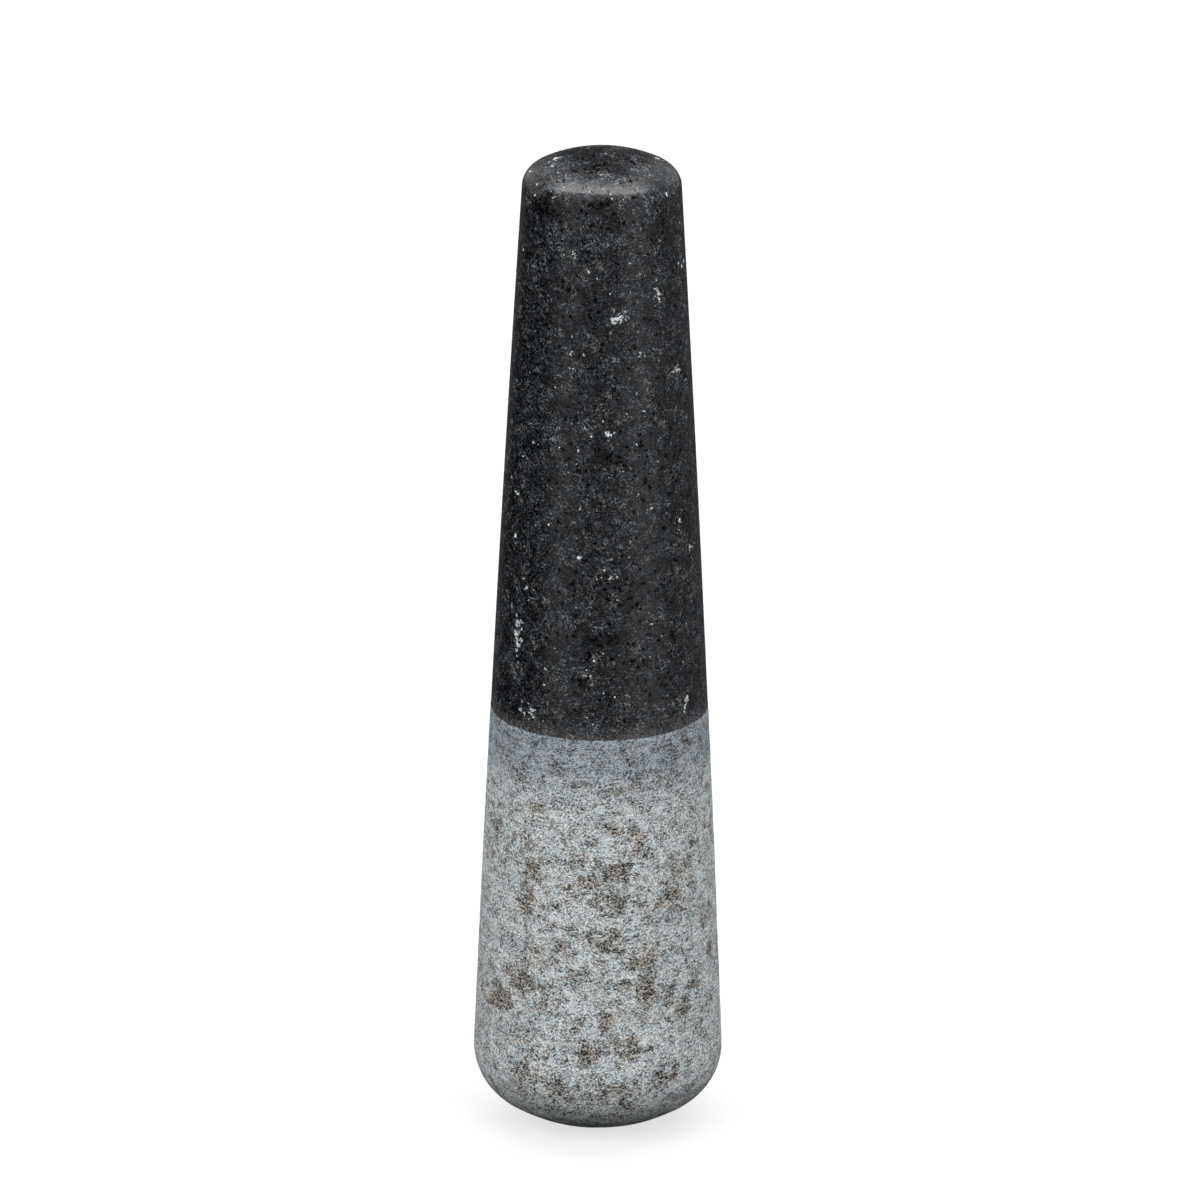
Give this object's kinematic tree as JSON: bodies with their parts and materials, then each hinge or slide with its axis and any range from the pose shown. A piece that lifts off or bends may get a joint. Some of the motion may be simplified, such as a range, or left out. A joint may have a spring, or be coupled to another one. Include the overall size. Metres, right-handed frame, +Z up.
{
  "type": "pestle",
  "caption": "Granite pestle: a solid turned stone that tapers from a domed, ground grinding end to a slimmer polished grip with a rounded butt, for crushing spices in a mortar.",
  "frame": {"origin": "centre of the flat land that the grinding end stands on", "axes": "+Z up along the turning axis, from the grinding end to the butt of the grip"},
  "size_m": [0.045, 0.045, 0.185],
  "materials": {
    "granite": "grip polished near-black, grinding end ground pale grey, on one stone"
  },
  "bodies": {
    "root": {"pestle": "granite"}
  },
  "joints": []
}
